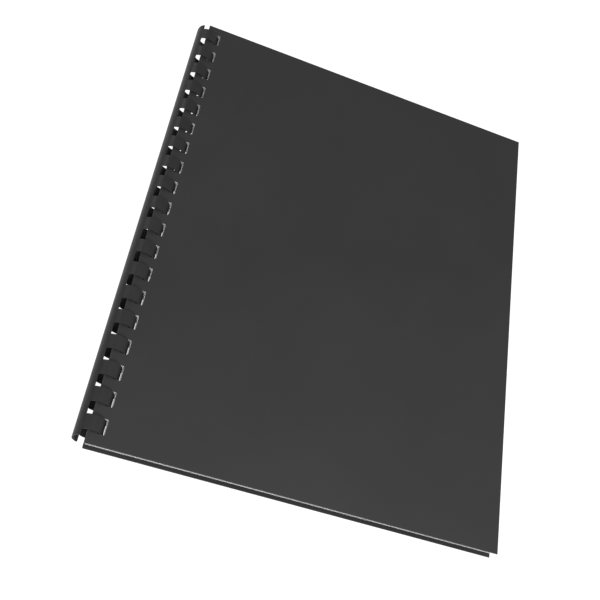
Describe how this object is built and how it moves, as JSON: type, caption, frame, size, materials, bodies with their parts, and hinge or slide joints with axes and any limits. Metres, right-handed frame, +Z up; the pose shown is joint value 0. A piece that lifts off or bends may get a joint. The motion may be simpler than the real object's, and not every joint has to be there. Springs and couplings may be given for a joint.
{
  "type": "comb-bound document",
  "caption": "Closed comb-bound document: two plain covers and a block of leaves on a moulded plastic comb; covers and leaves turn round its rings.",
  "frame": {"origin": "centre of the bounding box's base, where the closed document lies on a table", "axes": "+X from the comb to the fore-edge, +Y along the comb towards the head of the page, +Z up out of the front cover"},
  "size_m": [0.2222, 0.277, 0.0139],
  "materials": {
    "cover": "matte",
    "comb": "satin",
    "leaves": "matte"
  },
  "bodies": {
    "back_cover": {"back_cover": "cover"},
    "front_cover": {"front_cover": "cover"},
    "comb": {"comb": "comb"},
    "leaves_01": {"leaves_01": "leaves"},
    "leaves_02": {"leaves_02": "leaves"},
    "leaves_03": {"leaves_03": "leaves"},
    "leaves_04": {"leaves_04": "leaves"},
    "leaves_05": {"leaves_05": "leaves"},
    "leaves_06": {"leaves_06": "leaves"},
    "leaves_07": {"leaves_07": "leaves"},
    "leaves_08": {"leaves_08": "leaves"},
    "leaves_09": {"leaves_09": "leaves"},
    "leaves_10": {"leaves_10": "leaves"},
    "leaves_11": {"leaves_11": "leaves"},
    "leaves_12": {"leaves_12": "leaves"},
    "leaves_13": {"leaves_13": "leaves"},
    "leaves_14": {"leaves_14": "leaves"},
    "leaves_15": {"leaves_15": "leaves"},
    "leaves_16": {"leaves_16": "leaves"},
    "leaves_17": {"leaves_17": "leaves"},
    "leaves_18": {"leaves_18": "leaves"},
    "leaves_19": {"leaves_19": "leaves"},
    "leaves_20": {"leaves_20": "leaves"}
  },
  "joints": [
    {"name": "front_cover_turn", "type": "hinge", "parent": "back_cover", "child": "front_cover", "pos_m": [-0.10437, 0, 0.00786], "axis": [0, -1, 0], "range_deg": [0, 180]},
    {"name": "comb_turn", "type": "hinge", "parent": "back_cover", "child": "comb", "pos_m": [-0.10408, 0, 0.00686], "axis": [0, -1, 0], "range_deg": [0, 80.5]},
    {"name": "leaves_01_turn", "type": "hinge", "parent": "back_cover", "child": "leaves_01", "pos_m": [-0.10437, 0, 0.00786], "axis": [0, -1, 0], "range_deg": [0, 171.43]},
    {"name": "leaves_02_turn", "type": "hinge", "parent": "back_cover", "child": "leaves_02", "pos_m": [-0.10437, 0, 0.00786], "axis": [0, -1, 0], "range_deg": [0, 162.86]},
    {"name": "leaves_03_turn", "type": "hinge", "parent": "back_cover", "child": "leaves_03", "pos_m": [-0.10437, 0, 0.00786], "axis": [0, -1, 0], "range_deg": [0, 154.29]},
    {"name": "leaves_04_turn", "type": "hinge", "parent": "back_cover", "child": "leaves_04", "pos_m": [-0.10437, 0, 0.00786], "axis": [0, -1, 0], "range_deg": [0, 145.72]},
    {"name": "leaves_05_turn", "type": "hinge", "parent": "back_cover", "child": "leaves_05", "pos_m": [-0.10437, 0, 0.00786], "axis": [0, -1, 0], "range_deg": [0, 137.14]},
    {"name": "leaves_06_turn", "type": "hinge", "parent": "back_cover", "child": "leaves_06", "pos_m": [-0.10437, 0, 0.00786], "axis": [0, -1, 0], "range_deg": [0, 128.57]},
    {"name": "leaves_07_turn", "type": "hinge", "parent": "back_cover", "child": "leaves_07", "pos_m": [-0.10437, 0, 0.00786], "axis": [0, -1, 0], "range_deg": [0, 120]},
    {"name": "leaves_08_turn", "type": "hinge", "parent": "back_cover", "child": "leaves_08", "pos_m": [-0.10437, 0, 0.00786], "axis": [0, -1, 0], "range_deg": [0, 111.43]},
    {"name": "leaves_09_turn", "type": "hinge", "parent": "back_cover", "child": "leaves_09", "pos_m": [-0.10437, 0, 0.00786], "axis": [0, -1, 0], "range_deg": [0, 102.86]},
    {"name": "leaves_10_turn", "type": "hinge", "parent": "back_cover", "child": "leaves_10", "pos_m": [-0.10437, 0, 0.00786], "axis": [0, -1, 0], "range_deg": [0, 94.29]},
    {"name": "leaves_11_turn", "type": "hinge", "parent": "back_cover", "child": "leaves_11", "pos_m": [-0.10437, 0, 0.00786], "axis": [0, -1, 0], "range_deg": [0, 85.72]},
    {"name": "leaves_12_turn", "type": "hinge", "parent": "back_cover", "child": "leaves_12", "pos_m": [-0.10437, 0, 0.00786], "axis": [0, -1, 0], "range_deg": [0, 77.14]},
    {"name": "leaves_13_turn", "type": "hinge", "parent": "back_cover", "child": "leaves_13", "pos_m": [-0.10437, 0, 0.00786], "axis": [0, -1, 0], "range_deg": [0, 68.57]},
    {"name": "leaves_14_turn", "type": "hinge", "parent": "back_cover", "child": "leaves_14", "pos_m": [-0.10437, 0, 0.00786], "axis": [0, -1, 0], "range_deg": [0, 60]},
    {"name": "leaves_15_turn", "type": "hinge", "parent": "back_cover", "child": "leaves_15", "pos_m": [-0.10437, 0, 0.00786], "axis": [0, -1, 0], "range_deg": [0, 51.43]},
    {"name": "leaves_16_turn", "type": "hinge", "parent": "back_cover", "child": "leaves_16", "pos_m": [-0.10437, 0, 0.00786], "axis": [0, -1, 0], "range_deg": [0, 42.86]},
    {"name": "leaves_17_turn", "type": "hinge", "parent": "back_cover", "child": "leaves_17", "pos_m": [-0.10437, 0, 0.00786], "axis": [0, -1, 0], "range_deg": [0, 34.29]},
    {"name": "leaves_18_turn", "type": "hinge", "parent": "back_cover", "child": "leaves_18", "pos_m": [-0.10437, 0, 0.00786], "axis": [0, -1, 0], "range_deg": [0, 25.71]},
    {"name": "leaves_19_turn", "type": "hinge", "parent": "back_cover", "child": "leaves_19", "pos_m": [-0.10437, 0, 0.00786], "axis": [0, -1, 0], "range_deg": [0, 17.14]},
    {"name": "leaves_20_turn", "type": "hinge", "parent": "back_cover", "child": "leaves_20", "pos_m": [-0.10437, 0, 0.00786], "axis": [0, -1, 0], "range_deg": [0, 8.57]}
  ],
  "couplings": [
    {"joint": "comb_turn", "follows": "front_cover_turn", "ratio": 0.44722},
    {"joint": "leaves_01_turn", "follows": "front_cover_turn", "ratio": 0.95238},
    {"joint": "leaves_02_turn", "follows": "front_cover_turn", "ratio": 0.90476},
    {"joint": "leaves_03_turn", "follows": "front_cover_turn", "ratio": 0.85714},
    {"joint": "leaves_04_turn", "follows": "front_cover_turn", "ratio": 0.80952},
    {"joint": "leaves_05_turn", "follows": "front_cover_turn", "ratio": 0.76191},
    {"joint": "leaves_06_turn", "follows": "front_cover_turn", "ratio": 0.71429},
    {"joint": "leaves_07_turn", "follows": "front_cover_turn", "ratio": 0.66667},
    {"joint": "leaves_08_turn", "follows": "front_cover_turn", "ratio": 0.61905},
    {"joint": "leaves_09_turn", "follows": "front_cover_turn", "ratio": 0.57143},
    {"joint": "leaves_10_turn", "follows": "front_cover_turn", "ratio": 0.52381},
    {"joint": "leaves_11_turn", "follows": "front_cover_turn", "ratio": 0.47619},
    {"joint": "leaves_12_turn", "follows": "front_cover_turn", "ratio": 0.42857},
    {"joint": "leaves_13_turn", "follows": "front_cover_turn", "ratio": 0.38095},
    {"joint": "leaves_14_turn", "follows": "front_cover_turn", "ratio": 0.33333},
    {"joint": "leaves_15_turn", "follows": "front_cover_turn", "ratio": 0.28571},
    {"joint": "leaves_16_turn", "follows": "front_cover_turn", "ratio": 0.2381},
    {"joint": "leaves_17_turn", "follows": "front_cover_turn", "ratio": 0.19048},
    {"joint": "leaves_18_turn", "follows": "front_cover_turn", "ratio": 0.14286},
    {"joint": "leaves_19_turn", "follows": "front_cover_turn", "ratio": 0.095238},
    {"joint": "leaves_20_turn", "follows": "front_cover_turn", "ratio": 0.047619}
  ]
}
